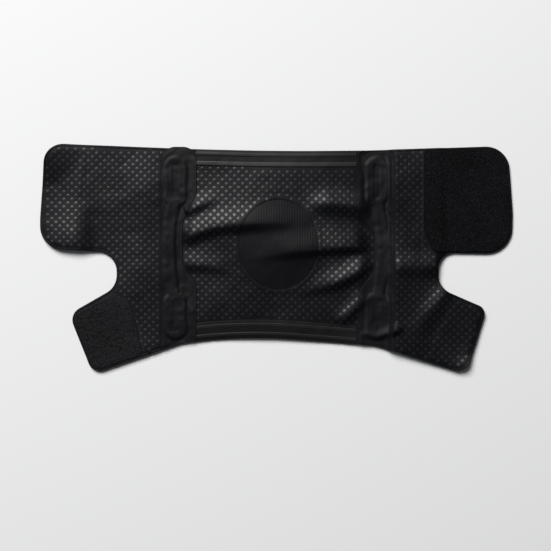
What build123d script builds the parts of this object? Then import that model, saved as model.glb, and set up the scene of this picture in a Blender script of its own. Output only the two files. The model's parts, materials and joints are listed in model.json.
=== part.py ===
"""Wraparound knee support, open and lying flat with its skin side up.

A front panel with an oval kneecap window carries a moulded stay on each side,
and beyond each stay a wing ends in an upper and a lower closing strap.
Millimetres, +Z up. X runs across the knee, Y up the leg. The origin is on the
surface the support lies on, under the middle of its outline.
"""
from build123d import *
from math import cos, hypot, radians, sin, tan
import os

# --- Overall outline (right half, mirrored for the left) ---
overall_width = 500.0        # tip to tip of the two upper straps
top_edge_y = 119.5           # Y of the upper straps' top edge while drawing
top_dish = 6.2               # how far the top edge dips at the middle
top_dish_span = 434.0        # width over which it dips
upper_strap_bottom = 6.2     # Y of the lower edge of the upper straps
upper_strap_flare = 6.4      # the strap's end leans out by this much from top to bottom
upper_strap_length = 80.1    # from the strap's end in to the end of the notch
upper_strap_top_r = 21.0
upper_strap_bottom_r = 19.0
notch_r = 21.5
notch_y = -16.0
lower_strap_setback = 27.9   # how far the lower straps end short of the upper ones
lower_strap_droop = 26.0     # degrees the lower strap's upper edge slopes down
lower_strap_end_lean = 20.0  # degrees the lower strap's end leans from upright
lower_strap_outer_r = 14.0
lower_strap_foot_r = 13.0
foot_slope = 18.7            # degrees the bottom edge drops from the stays outwards
foot_arch_y = -85.7          # Y of the bottom edge at the middle
foot_arch_rise = 4.6         # how much the bottom edge arches between the slopes
foot_blend_r = 80.0
slope_inside_waist = 2.0     # the slope starts this far inside the stay cover's waist
bulge = 1.0                  # the straps' straight ends run this far past their rounded tips

# --- Cloth ---
outer_cloth = 1.4            # outer face cloth
liner_cloth = 1.6            # skin-side liner
sheet = outer_cloth + liner_cloth

# --- Kneecap window ---
window_width = 84.0
window_height = 95.0
window_y = 14.5
window_knit = 0.8            # thickness of the ribbed knit
window_flange = 5.0          # how far the knit runs in between liner and outer cloth
fit_clearance = 0.2          # around every piece that is let into another

# --- Fold lines, by their distance from the middle, and the gap left at each ---
window_to_fold = 4.0         # cloth left between the window's knit and the first fold
front_side_width = 34.5      # front cloth between the first fold and the stay panel
stay_panel_width = 38.2
upper_fold_past_notch = 10.1
lower_fold_past_notch = 2.6  # a point on the slanted fold of the lower strap
lower_fold_below_notch = 56.5
lower_fold_lean = 21.0       # degrees from upright
fold_gap = 0.4

# --- Grip bands along the top and bottom edges of the front ---
grip_band_end = 1.1          # from the band's end to the fold beside it
grip_film = 0.4
grip_strip = 0.6
upper_band_depth = 18.0
lower_band_depth = 20.5
band_edge_inset = 0.8
upper_strips = ((1.5, 6.1), (11.7, 16.0))    # from the edge: start and end of each strip
lower_strips = ((2.1, 7.9), (13.2, 18.6))
strip_end_inset = 1.2

# --- Moulded stays ---
stay_thick = 1.6
stay_off_middle = 1.4        # from the panel's middle outwards to the middle of the end loops
stay_bow = 6.0               # the neck bows away from the kneecap by this much
stay_loop_width = 20.0
stay_neck_width = 9.0
stay_slot_width = 7.6
stay_slot_wall = 6.2
stay_end_margin = 9.0        # from the top and bottom edges to the ends of the stay
upper_loop_length = 49.2
lower_loop_length = 47.3
stay_shoulder = 22.6         # height over which the neck runs from a loop to its bow
stay_neck_bend_r = 18.0

# --- Stay covers ---
cover_tape = 0.8
cover_inset = 0.6            # from each fold line
cover_waist = 14.5           # how far the inner edge draws in where the cover narrows
cover_shoulder_start = 13.4  # above the foot of the upper loop, where it starts to draw in
cover_shoulder = 44.0        # height over which it draws in
cover_foot_shoulder = 36.0   # the same above the lower loop
cover_foot_start = 7.3       # below the top of the lower loop
cover_shoulder_r = 16.0
cover_relief_margin = 1.0    # how far the relief stands outside the stay
cover_edge_inset = 0.6
cover_ear_r = 14.0
cover_ear_proud = 2.0        # how far the rounded upper end stands past the top edge

# --- Fastening patches ---
patch_inset = 3.0            # from the edge of the strap
loop_pile = 1.5
hook_tape = 1.0
upper_loop_patch_width = 97.0   # of the right strap's loop patch, in from the strap's end
upper_hook_patch_width = 41.6   # of the left strap's hook patch
lower_loop_edge = ((10.1, -30.0), (-19.4, -75.0), (-26.9, -112.0))  # X from the notch's end, Y
lower_hook_start = 4.0       # from the fold of the lower right strap

# --- Places that follow from those sizes ---
half_width = overall_width / 2
notch_depth_x = half_width - upper_strap_length
lower_strap_reach = half_width - lower_strap_setback
front_fold_x = window_width / 2 + window_flange + window_to_fold
stay_inner_x = front_fold_x + front_side_width
stay_outer_x = stay_inner_x + stay_panel_width
upper_strap_fold_x = notch_depth_x + upper_fold_past_notch
lower_strap_fold_x = notch_depth_x + lower_fold_past_notch
lower_strap_fold_y = notch_y - lower_fold_below_notch
foot_edge_start = stay_inner_x + cover_waist - slope_inside_waist
stay_x = (stay_inner_x + stay_outer_x) / 2 + stay_off_middle
grip_band_half = stay_inner_x - grip_band_end
far = 2 * overall_width      # reach of the shapes used for cutting
solids = {}


def polygon(*points):
    """A flat face through the given corners."""
    return make_face(Polyline(*points, close=True))


def mirrored(shape, side):
    """The right-hand shape itself, or its mirror image for the left side."""
    return shape if side == "right" else mirror(shape, about=Plane.YZ)


def rounded(face, corner, radius):
    """Round the corner of a face that lies nearest to a point, on both sides."""
    for x in (corner[0], -corner[0]):
        nearest = min(face.vertices(), key=lambda v: hypot(v.X - x, v.Y - corner[1]))
        face = fillet(nearest, radius)
    return face


def line_crossing(point_a, angle_a, point_b, angle_b):
    """Where two straight lines, each a point and a direction in degrees, cross."""
    ax, ay = cos(radians(angle_a)), sin(radians(angle_a))
    bx, by = cos(radians(angle_b)), sin(radians(angle_b))
    dx, dy = point_b[0] - point_a[0], point_b[1] - point_a[1]
    t = (dx * by - dy * bx) / (ax * by - ay * bx)
    return point_a[0] + t * ax, point_a[1] + t * ay


def notch_shape():
    """The back-of-knee notch: a round end that opens outwards between the straps."""
    centre_x = notch_depth_x + notch_r
    slope = radians(lower_strap_droop)
    tangent = (centre_x - notch_r * sin(slope), notch_y - notch_r * cos(slope))
    top = (centre_x, notch_y + notch_r)
    mouth = polygon(
        top,
        (far, top[1] + (upper_strap_bottom - top[1]) * (far - centre_x) / (half_width - centre_x)),
        (far, tangent[1] - (far - tangent[0]) * tan(slope)),
        tangent,
        (centre_x, notch_y),
    )
    return Pos(centre_x, notch_y) * Circle(notch_r) + mouth, tangent


def outline():
    """The whole flat outline of the support."""
    notch, tangent = notch_shape()
    top_corner = (half_width + bulge - upper_strap_flare, top_edge_y)
    strap_corner = (half_width + bulge, upper_strap_bottom)
    end_angle = -90 - lower_strap_end_lean
    end_corner = (lower_strap_reach, tangent[1] - (lower_strap_reach - tangent[0]) * tan(radians(lower_strap_droop)))
    slope_start = (foot_edge_start, foot_arch_y - foot_arch_rise)
    foot_corner = line_crossing(end_corner, end_angle, slope_start, -foot_slope)
    right = [top_corner, strap_corner, end_corner, foot_corner, slope_start]
    left = [(-x, y) for x, y in reversed(right)]
    arch = ThreePointArc(slope_start, (0, foot_arch_y), left[0])
    face = make_face([Polyline(*right), arch, Polyline(*left), Line(left[-1], right[0])])
    dish_r = ((top_dish_span / 2) ** 2 + top_dish ** 2) / (2 * top_dish)
    face -= Pos(0, top_edge_y - top_dish + dish_r) * Circle(dish_r)
    face -= notch
    face -= mirror(notch, about=Plane.YZ)
    face = rounded(face, top_corner, upper_strap_top_r)
    face = rounded(face, strap_corner, upper_strap_bottom_r)
    face = rounded(face, end_corner, lower_strap_outer_r)
    face = rounded(face, foot_corner, lower_strap_foot_r)
    return rounded(face, slope_start, foot_blend_r)


whole = outline()


def band(x_from, x_to):
    """An upright cutting band between two distances from the middle."""
    return polygon((x_from, -far), (x_to, -far), (x_to, far), (x_from, far))


def beyond_upper_fold(offset):
    """Everything of the upper strap past its fold, moved outwards by an offset."""
    x = upper_strap_fold_x + offset
    return polygon((x, notch_y), (far, notch_y), (far, far), (x, far))


def beyond_lower_fold(offset):
    """Everything of the lower strap past its slanted fold, moved outwards by an offset."""
    lean = radians(lower_fold_lean)
    along = (sin(lean), cos(lean))
    out = (cos(lean), -sin(lean))
    point = (lower_strap_fold_x + offset * out[0], lower_strap_fold_y + offset * out[1])
    rise = (notch_y - point[1]) / along[1]
    head = (point[0] + rise * along[0], notch_y)
    foot = (point[0] - far * along[0], point[1] - far * along[1])
    return polygon(head, foot, (far, -far), (far, notch_y))


half_gap = fold_gap / 2
front_zone = band(-front_fold_x + half_gap, front_fold_x - half_gap)
side_zones = {
    "front": band(front_fold_x + half_gap, stay_inner_x - half_gap),
    "stay_panel": band(stay_inner_x + half_gap, stay_outer_x - half_gap),
    "wing": band(stay_outer_x + half_gap, far) - beyond_upper_fold(-half_gap) - beyond_lower_fold(-half_gap),
    "upper_strap": beyond_upper_fold(half_gap),
    "lower_strap": beyond_lower_fold(half_gap),
}


def plate(face, low, high):
    """A flat face made into a plate between two heights."""
    return extrude(Pos(0, 0, low) * face, high - low)


def inset(face, distance):
    """A face with its whole edge moved inwards."""
    return offset(face, -distance, kind=Kind.ARC)


# --- Fastening patches, as flat shapes ---
field = inset(whole, patch_inset)
loop_x = half_width - upper_loop_patch_width
hook_x = half_width - upper_hook_patch_width
patch_foot = notch_y + notch_r
upper_loop_face = field & polygon((loop_x, patch_foot), (far, patch_foot), (far, far), (loop_x, far))
upper_hook_face = field & polygon((-hook_x, patch_foot), (-far, patch_foot), (-far, far), (-hook_x, far))
loop_edge = [(notch_depth_x + x, y) for x, y in lower_loop_edge]
beyond_loop_edge = Polyline(loop_edge[2], (far, -far), (far, notch_y), loop_edge[0])
lower_loop_face = field & mirror(make_face([ThreePointArc(*loop_edge), beyond_loop_edge]), about=Plane.YZ)
lower_hook_face = field & beyond_lower_fold(lower_hook_start)


# --- Cloth panels: an outer cloth and a liner in every zone ---
def window_oval(margin):
    """The oval of the kneecap window, grown by a margin."""
    return Pos(0, window_y) * Ellipse(window_width / 2 + margin, window_height / 2 + margin)


window_face = window_oval(0)
window_knit_face = window_oval(window_flange)
window_recess_face = window_oval(window_flange + fit_clearance)


def cloth_pair(zone, name):
    """The outer cloth and the liner of one zone."""
    face = whole & zone
    solids[f"{name}_outer_cloth"] = plate(face, 0, outer_cloth)
    solids[f"{name}_liner"] = plate(face, outer_cloth, sheet)


cloth_pair(front_zone, "front_centre")
for side in ("left", "right"):
    for zone_name, zone in side_zones.items():
        node = f"{zone_name}_{side}" if zone_name == "front" else f"{side}_{zone_name}"
        if "strap" in zone_name:
            upper_or_lower = zone_name.split("_")[0]
            node = f"{upper_or_lower}_{side}_strap"
        cloth_pair(mirrored(zone, side), node)

# The kneecap window goes through both cloths, and its knit is held between them.
solids["front_centre_outer_cloth"] -= plate(window_face, 0, outer_cloth)
recess_top = outer_cloth + window_knit
solids["front_centre_liner"] = plate((whole & front_zone) - window_recess_face, outer_cloth, recess_top)
solids["front_centre_liner"] += plate((whole & front_zone) - window_face, recess_top, sheet)
solids["patella_window_knit"] = plate(window_knit_face, outer_cloth, outer_cloth + window_knit)

# The hook patches lie flush in the underside of their straps.
for node, face in (("upper_left", upper_hook_face), ("lower_right", lower_hook_face)):
    pocket = plate(offset(face, fit_clearance, kind=Kind.ARC), 0, hook_tape)
    solids[f"{node}_strap_outer_cloth"] -= pocket
    solids[f"{node}_hook_patch"] = plate(face, 0, hook_tape)

# The loop patches stand on the liner, and each has a part on either side of the fold.
loop_top = sheet + loop_pile
right_wing_cut = side_zones["wing"]
left_wing_cut = mirrored(side_zones["wing"], "left")
solids["upper_right_loop_patch"] = plate(upper_loop_face & side_zones["upper_strap"], sheet, loop_top)
solids["upper_right_loop_patch_inner"] = plate(upper_loop_face & right_wing_cut, sheet, loop_top)
lower_left_zone = mirrored(side_zones["lower_strap"], "left")
solids["lower_left_loop_patch"] = plate(lower_loop_face & lower_left_zone, sheet, loop_top)
solids["lower_left_loop_patch_inner"] = plate(lower_loop_face & left_wing_cut, sheet, loop_top)


# --- Grip bands ---
def edge_strip(start, end, half_length, edge):
    """A strip that follows the top (+1) or bottom (-1) edge between two depths."""
    shape = (Pos(0, -edge * start) * whole) - (Pos(0, -edge * end) * whole)
    beside = far * edge
    keep = polygon((-half_length, 0), (half_length, 0), (half_length, beside), (-half_length, beside))
    return shape & keep


thirds = {
    "centre": front_zone,
    "left": mirrored(side_zones["front"], "left"),
    "right": side_zones["front"],
}
for edge_name, edge, depth, strips in (
    ("upper", 1, upper_band_depth, upper_strips),
    ("lower", -1, lower_band_depth, lower_strips),
):
    film = edge_strip(band_edge_inset, depth, grip_band_half, edge)
    lines = [edge_strip(a, b, grip_band_half - strip_end_inset, edge) for a, b in strips]
    for third, zone in thirds.items():
        film_top = sheet + grip_film
        solids[f"{edge_name}_grip_band_{third}"] = plate(film & zone, sheet, film_top)
        raised = [plate(line & zone, film_top, film_top + grip_strip) for line in lines]
        solids[f"{edge_name}_grip_strips_{third}"] = Compound(children=raised)


# --- Stays and their covers ---
dish_depth = top_dish * (1 - (2 * stay_x / top_dish_span) ** 2)
stay_top_y = top_edge_y - dish_depth - stay_end_margin
foot_at_stay = foot_arch_y - foot_arch_rise - (stay_x - foot_edge_start) * tan(radians(foot_slope))
stay_foot_y = foot_at_stay + stay_end_margin
upper_loop = (stay_top_y - upper_loop_length, stay_top_y)    # lowest and highest Y
lower_loop = (stay_foot_y, stay_foot_y + lower_loop_length)


def racetrack(x, low, high, width):
    """An upright slot shape between two heights."""
    return Pos(x, (low + high) / 2) * Rot(0, 0, 90) * SlotOverall(high - low, width)


def stay_face():
    """A loop at each end, joined by a neck that bows outwards."""
    face = Sketch()
    for low, high in (upper_loop, lower_loop):
        face += racetrack(stay_x, low, high, stay_loop_width)
    half_loop = stay_loop_width / 2
    neck_x = stay_x + stay_bow
    neck = FilletPolyline(
        (stay_x, upper_loop[0] + half_loop),
        (neck_x, upper_loop[0] - stay_shoulder),
        (neck_x, lower_loop[1] + stay_shoulder),
        (stay_x, lower_loop[1] - half_loop),
        radius=stay_neck_bend_r,
    )
    face += trace(neck, stay_neck_width)
    for low, high in (upper_loop, lower_loop):
        face -= racetrack(stay_x, low + stay_slot_wall, high - stay_slot_wall, stay_slot_width)
    return face


def cover_face():
    """The cover tape: straight outside, narrowed to a waist inside."""
    inner = stay_inner_x + cover_inset
    outer = stay_outer_x - cover_inset
    waist = stay_inner_x + cover_waist
    shoulder = upper_loop[0] + cover_shoulder_start
    foot_shoulder = lower_loop[1] - cover_foot_start
    edge = FilletPolyline(
        (inner, far),
        (inner, shoulder),
        (waist, shoulder - cover_shoulder),
        (waist, foot_shoulder + cover_foot_shoulder),
        (inner, foot_shoulder),
        (inner, -far),
        radius=cover_shoulder_r,
    )
    strip = make_face([edge, Polyline((inner, -far), (outer, -far), (outer, far), (inner, far))])
    ear_y = stay_top_y + stay_end_margin + cover_ear_proud - cover_ear_r
    return (strip & inset(whole, cover_edge_inset)) + Pos(stay_x, ear_y) * Circle(cover_ear_r)


stay = stay_face()
relief = offset(stay, cover_relief_margin, kind=Kind.ARC)
stay_top = sheet + stay_thick
cover = plate(cover_face(), sheet, sheet + cover_tape)
cover += plate(relief, sheet, stay_top + cover_tape)
cover -= plate(offset(stay, fit_clearance, kind=Kind.ARC), sheet, stay_top)
for side in ("left", "right"):
    solids[f"{side}_stay"] = mirrored(plate(stay, sheet, stay_top), side)
    solids[f"{side}_stay_cover"] = mirrored(cover, side)

# The origin goes under the middle of the outline.
middle_y = whole.bounding_box().center().Y
os.makedirs("parts", exist_ok=True)
for name, solid in solids.items():
    solids[name] = Pos(0, -middle_y, 0) * solid
    export_step(solids[name], f"parts/{name}.step")
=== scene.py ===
"""Looks of a wraparound knee support that lies open with its skin side up.

Numbers are millimetres unless they say otherwise. X runs across the knee, Y up the
leg and Z out of the table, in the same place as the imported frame.
"""
import json
import math

import bpy
import numpy as np
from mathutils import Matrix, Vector
from mathutils.geometry import delaunay_2d_cdt

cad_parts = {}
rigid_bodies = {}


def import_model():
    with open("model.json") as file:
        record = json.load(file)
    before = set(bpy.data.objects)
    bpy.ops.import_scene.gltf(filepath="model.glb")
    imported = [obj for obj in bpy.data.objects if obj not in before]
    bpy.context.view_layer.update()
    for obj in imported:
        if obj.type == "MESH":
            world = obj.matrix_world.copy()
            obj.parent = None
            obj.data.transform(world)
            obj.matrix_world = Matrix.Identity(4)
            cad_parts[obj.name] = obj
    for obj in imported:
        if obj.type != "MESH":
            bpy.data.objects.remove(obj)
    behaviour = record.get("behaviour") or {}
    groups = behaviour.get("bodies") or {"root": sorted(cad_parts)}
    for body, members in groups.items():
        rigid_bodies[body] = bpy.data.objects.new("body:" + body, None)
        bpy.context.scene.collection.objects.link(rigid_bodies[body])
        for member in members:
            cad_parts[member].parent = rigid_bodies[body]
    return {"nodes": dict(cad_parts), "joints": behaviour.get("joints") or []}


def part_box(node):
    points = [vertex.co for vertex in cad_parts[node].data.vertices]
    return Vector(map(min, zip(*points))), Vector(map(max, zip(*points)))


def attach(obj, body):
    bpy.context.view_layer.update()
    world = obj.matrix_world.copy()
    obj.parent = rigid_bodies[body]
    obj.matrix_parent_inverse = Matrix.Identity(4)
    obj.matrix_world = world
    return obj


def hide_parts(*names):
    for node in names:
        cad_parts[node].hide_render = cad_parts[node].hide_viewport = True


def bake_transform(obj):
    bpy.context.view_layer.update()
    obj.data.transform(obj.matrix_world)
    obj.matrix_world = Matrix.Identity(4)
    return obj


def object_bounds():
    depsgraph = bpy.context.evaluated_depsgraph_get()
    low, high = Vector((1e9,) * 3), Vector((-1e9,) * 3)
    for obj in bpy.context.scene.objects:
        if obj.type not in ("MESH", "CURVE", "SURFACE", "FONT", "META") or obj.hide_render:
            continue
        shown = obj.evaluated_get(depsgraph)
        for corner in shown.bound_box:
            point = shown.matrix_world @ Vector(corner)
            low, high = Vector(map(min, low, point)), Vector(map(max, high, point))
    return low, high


for default_thing in list(bpy.data.objects):
    bpy.data.objects.remove(default_thing)
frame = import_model()
cad_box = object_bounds()

MM = 0.001
SIDES = (("left", -1), ("right", 1))
joints = {joint["name"]: joint for joint in frame["joints"]}


# --- Places taken from the frame ---
def node_box(node):
    """The lowest and highest corner of a CAD node."""
    low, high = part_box(node)
    return np.array(low) / MM, np.array(high) / MM


def fold_x(name):
    """How far out a fold lies, at the place where its joint is."""
    return joints[name]["pos_m"][0] / MM


box_low, box_high = np.array(cad_box[0]) / MM, np.array(cad_box[1]) / MM
tip_left, tip_right = box_low[0], box_high[0]
strap_foot, strap_top = box_low[1], box_high[1]
fold_to_notch_left, fold_to_notch_right = 11.4, 8.6    # inwards from the strap's fold
notch_left = fold_x("upper_left_strap_fold") + fold_to_notch_left
notch_right = fold_x("upper_right_strap_fold") - fold_to_notch_right
notch_y = -13.0                     # parts the upper strap's cloth from the lower strap's
liner_low, liner_high = node_box("left_wing_liner")[0][2], node_box("left_wing_liner")[1][2]
window_low, window_high = node_box("patella_window_knit")
window_x = 2.4                      # the window lies a little off the middle
window_y = (window_low[1] + window_high[1]) / 2
knit_overlap = 5.0                  # how far the knit runs in under the cloth
window_a = (window_high[0] - window_low[0]) / 2 - knit_overlap
window_b = (window_high[1] - window_low[1]) / 2 - knit_overlap
stay_low, stay_high = node_box("right_stay")
stay_x = (stay_low[0] + stay_high[0]) / 2
stay_top_z = stay_high[2]

# Corners of the flat outline, clockwise from the upper left strap: x, y, rounding
OUTLINE = (
    (tip_left + 6.1, strap_top + 2.2, 21),
    (22, strap_top - 8.1, 3000),
    (tip_right - 4.7, strap_top - 0.4, 25),
    (tip_right + 0.5, 48, 150),
    (tip_right - 0.6, 4.6, 28),
    (notch_right, 6.1, 17),
    (notch_right, -30.8, 21),
    (notch_right + 51.4, -52.9, 10),
    (notch_right + 28.8, strap_foot - 2.0, 14),
    (105.4, -92.1, 100),
    (-32.3, -81.5, 550),
    (-99.5, -89.6, 100),
    (notch_left - 25.2, strap_foot - 1.8, 12),
    (notch_left - 50.4, -58.4, 14),
    (notch_left, -29.6, 21.2),
    (notch_left, 6.5, 21.2),
    (tip_left + 0.8, 10.5, 25),
    (tip_left + 0.2, 42, 100),
)

# --- Cloth: mesh, edges and underside ---
cloth_step = 2.1                    # between the points of the cloth's mesh
cloth_rings = (0.3, 0.7, 1.3, 2.3, 3.0, 3.7)    # rows of points along each edge
edge_roll = 0.6                     # over which the cut edge rounds off
rim_share = 0.15                    # share of the liner's thickness left at its rim
pressed_line = 3.0                  # from the edge to the pressed line
pressed_depth, pressed_width = 0.16, 0.6
hem_drop, hem_ramp = 0.1, 1.2       # the hem outside the pressed line is thinner
window_drop, window_ramp = 0.25, 1.8    # so is the liner along the window
under_roll = 0.8                    # share of the outer cloth that rounds off underneath
cloth_lap = 0.02                    # keeps the two cloths' faces apart

# --- Grip dots ---
dot_pitch, dot_row = 8.58, 4.06     # along a row, and from row to row
dot_radius, dot_height, dot_sink = 1.92, 0.26, 0.05
dot_sides = 10
shoulder_out, shoulder_up = 0.66, 0.78  # of the dome, as shares of its radius and height
foot_lean, shoulder_lean = 0.2, 0.09    # how far its normals lean outwards there
dot_edge_margin = 4.4
window_margin, cover_margin, pile_clearance, band_margin = 2.0, 1.0, 1.6, 1.2
band_end_margin = 2.0

# --- Kneecap window ---
rib_pitch, rib_height = 2.7, 0.11
rib_power = 0.7                     # a lower power makes fuller ribs
points_per_rib, knit_rows = 6, 46
knit_lap, knit_thick = 1.3, 0.6     # past the window's edge, and its thickness
tip_left_off, tip_right_off = 0.3, 0.2    # the oval's two tips are left off
rib_fade = 1.5                      # ribs flatten this near the window's edge

# --- Grip bands ---
film_height, film_rows = 0.25, 12
strip_height, strip_rows = 0.45, 11
film_edge_inset = 0.9
band_sink = 0.08                    # into the liner
band_step = 2.0
strip_power = 8                     # a higher power makes a flatter strip
film_edge = 0.08                    # share of the film's width that rounds off
band_end_left, band_end_right = -84.2, 84.6
upper_band_depth, lower_band_depth = 18.0, 20.0
upper_strips = ((1.8, 7.1), (12.0, 17.2))
lower_strips = ((2.6, 7.2), (12.6, 16.8))

# --- Seams between the cloth's segments, each in a part that doesn't bend ---
seam_side, seam_stay, seam_wing = 68.0, 104.0, 134.0
# segment: from, to (by distance from the middle), its joint, half the width that bends
SEGMENTS = {
    "front": (0.0, seam_side, "front_{side}_fold", 8.0),
    "stay": (seam_side, seam_stay, "{side}_stay_fold", 6.0),
    "wing": (seam_stay, seam_wing, "{side}_wing_fold", 6.0),
    "upper": (seam_wing, 300.0, "upper_{side}_strap_fold", 9.0),
    "lower": (seam_wing, 300.0, "lower_{side}_strap_fold", 9.0),
}
CLOTH_NODES = {
    "front": ("front_centre_{part}", "front_{side}_{part}"),
    "stay": ("{side}_stay_panel_{part}",),
    "wing": ("{side}_wing_{part}",),
    "upper": ("upper_{side}_strap_{part}",),
    "lower": ("lower_{side}_strap_{part}",),
}


# --- Flat shapes ---
def unit(vector):
    """The same direction at length one."""
    return vector / np.linalg.norm(vector)


def corner_runs(corners):
    """Each corner's place and rounding, and the directions into it and out of it."""
    for i, (x, y, radius) in enumerate(corners):
        here = np.array((x, y), float)
        into = unit(here - np.array(corners[i - 1][:2]))
        out = unit(np.array(corners[(i + 1) % len(corners)][:2]) - here)
        yield here, radius, into, out


def rounded_path(corners, step):
    """A closed path through corners, each rounded by an arc, with points at about one step."""
    path = []
    for here, radius, into, out in corner_runs(corners):
        turn = math.atan2(into[0] * out[1] - into[1] * out[0], into @ out)
        reach = radius * math.tan(abs(turn) / 2)
        side = math.copysign(1, turn)
        start = here - into * reach
        centre = start + side * radius * np.array((-into[1], into[0]))
        steps = max(2, round(radius * abs(turn) / step))
        spoke = start - centre
        for k in range(steps + 1):
            angle = turn * k / steps
            cosine, sine = math.cos(angle), math.sin(angle)
            turned = (spoke[0] * cosine - spoke[1] * sine, spoke[0] * sine + spoke[1] * cosine)
            path.append(centre + turned)
    return fill_gaps(np.array(path), step, closed=True)


def fill_gaps(path, step, closed=False):
    """Add points on the long straight stretches of a path."""
    ends = np.roll(path, -1, 0) if closed else path[1:]
    filled = []
    for a, b in zip(path, ends):
        pieces = max(1, round(float(np.linalg.norm(b - a)) / step))
        filled += [a + (b - a) * k / pieces for k in range(pieces)]
    if not closed:
        filled.append(path[-1])
    return np.array(filled)


def smooth_line(points, count=40):
    """A smooth curve through two to four points."""
    points = np.array(points, float)
    along = np.linspace(0, 1, len(points))
    fine = np.linspace(0, 1, count)
    fits = [np.polyfit(along, points[:, k], len(points) - 1) for k in (0, 1)]
    return np.stack([np.polyval(fit, fine) for fit in fits], 1)


def oval(a, b, step):
    """The kneecap window's edge."""
    count = round(2 * math.pi * math.sqrt((a * a + b * b) / 2) / step)
    angle = np.linspace(0, -2 * math.pi, count, endpoint=False)
    return np.stack([window_x + a * np.cos(angle), window_y + b * np.sin(angle)], 1)


def inside(points, loop):
    """Which points lie inside a closed loop."""
    x, y = points[:, 0], points[:, 1]
    result = np.zeros(len(points), bool)
    for (ax, ay), (bx, by) in zip(loop, np.roll(loop, -1, 0)):
        if ay != by:
            crosses = (ay > y) != (by > y)
            result ^= crosses & (x < (bx - ax) * (y - ay) / (by - ay) + ax)
    return result


def from_line(points, line, closed=False):
    """Each point's distance to a line, its share of the way along it, and its signed offset."""
    ends = np.roll(line, -1, 0) if closed else line[1:]
    best = np.full(len(points), np.inf)
    share = np.zeros(len(points))
    offset = np.zeros(len(points))
    pieces = len(ends)
    for k, (a, b) in enumerate(zip(line, ends)):
        run = b - a
        long = float(run @ run)
        if long < 1e-12:
            continue
        t = np.clip(((points - a) @ run) / long, 0, 1)
        gap = points - (a + t[:, None] * run)
        distance = np.hypot(gap[:, 0], gap[:, 1])
        nearer = distance < best
        best = np.where(nearer, distance, best)
        share = np.where(nearer, (k + t) / pieces, share)
        across = (run[0] * (points[:, 1] - a[1]) - run[1] * (points[:, 0] - a[0])) / math.sqrt(long)
        offset = np.where(nearer, across, offset)
    return best, share, offset


def smooth(t):
    """A soft step from 0 to 1."""
    t = np.clip(t, 0, 1)
    return t * t * (3 - 2 * t)


def ridge(distance, middle, width):
    """A soft ridge of height one that runs along a line at some distance."""
    return np.exp(-(((distance - middle) / width) ** 2))


def edge_run(kept):
    """Part of the outline, from left to right."""
    run = outline[kept]
    return run[np.argsort(run[:, 0])]


outline = rounded_path(OUTLINE, cloth_step)
window_edge = oval(window_a, window_b, cloth_step)
top_from, foot_from, foot_half = 100, -80, 150    # where the outline's top and foot lie
top_run = edge_run(outline[:, 1] > top_from)
foot_run = edge_run((outline[:, 1] < foot_from) & (np.abs(outline[:, 0]) < foot_half))


# --- How the cloth lies ---
# Soft folds: crest line, height, width of the side on the left of the line's run, width of the
# other side, and the shares of the line over which the fold fades in and out
FOLDS = (
    (((-103, 17), (-72, 31), (-30, 36.5), (52, 41)), 4.7, 14.5, 6.2, 0.12, 0.42),
    (((-34, 1), (6, 5), (50, 10), (110, 13)), 5.0, 17.0, 4.8, 0.9, 0.14),
    (((8, -37), (58, -27), (86, -15), (108, -2)), 4.5, 12.0, 5.6, 0.5, 0.14),
    (((62, -71), (77, -58), (98, -37)), 2.7, 8.0, 5.5, 0.45, 0.12),
    (((28, 58), (62, 58), (104, 52)), 4.2, 10.0, 9.5, 0.45, 0.12),
    (((-98, 49), (-80, 57), (-56, 67)), 2.8, 9.0, 5.5, 0.12, 0.6),
    (((-102, -6), (-76, -7), (-34, -15)), 1.9, 11.0, 6.0, 0.12, 0.6),
    (((122, -8), (150, -9), (176, -7)), 2.5, 12.0, 8.0, 0.15, 0.15),
    (((140, -94), (152, -70), (169, -47), (186, -28)), 2.5, 9.0, 9.0, 0.85, 0.1),
    (((90, -76), (107, -81.5), (121, -77.5), (136, -73)), 3.4, 5.0, 3.6, 0.2, 0.25),
    (((-210, 2), (-208, 50), (-199, 112)), 4.5, 27.0, 14.0, 0.1, 0.8),
    (((-150, 112), (-140, 60), (-150, -80)), 0.9, 20.0, 12.0, 0.4, 0.4),
)
# Long shallow waves: crest direction in degrees, length, height, start
WAVES = ((20, 96, 0.35, 0.4), (-35, 71, 0.28, 1.9), (80, 120, 0.3, 3.1), (55, 47, 0.16, 5.0))
# Corners that curl up off the table: place, reach, height, power (a lower power curls more evenly)
CORNER_LIFTS = (
    ((tip_left, strap_top), 46, 8.0, 1.35),
    ((tip_right - 30, strap_foot + 10), 55, 2.5, 2),
    ((tip_right - 45, strap_foot + 3), 19, 4.2, 1.4),
)
front_crown, crown_y, crown_length = 5.6, 30.0, 230.0
crown_stop = 14.0                   # the crown ends this far short of the stays
window_bulge, bulge_a, bulge_b = 1.8, 48.0, 54.0
right_fall, fall_length, fall_ramp = 4.6, 118.0, 0.1
fall_start = 8.0                    # outside the right stay
crumple, crumple_cell, crumple_seed = 0.15, 9.0, 3
stay_keep = 0.35                    # share of the height that the cloth keeps over a stay
stay_half_calm, calm_ramp = 5.0, 14.0
pad_calm, pad_ramp = 0.7, 10.0      # the right pile pad lies flatter than the rest
hook_show, hook_show_out, hook_show_ramp = 0.4, 3.0, 7.0    # hook tape lifts the cloth over it


def fold_height(points, crest, height, left_width, right_width, fade_in, fade_out):
    """A fold that fades out at both ends of its crest."""
    _, share, offset = from_line(points, smooth_line(crest))
    wide = np.where(offset > 0, left_width, right_width)
    fade = smooth(share / fade_in) * smooth((1 - share) / fade_out)
    return height * fade * ridge(offset, 0, wide)


def corner_lift(points, corner, reach, height, power):
    """How far a corner curls up off the table."""
    near = 1 - np.hypot(points[:, 0] - corner[0], points[:, 1] - corner[1]) / reach
    return height * np.clip(near, 0, 1) ** power


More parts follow.
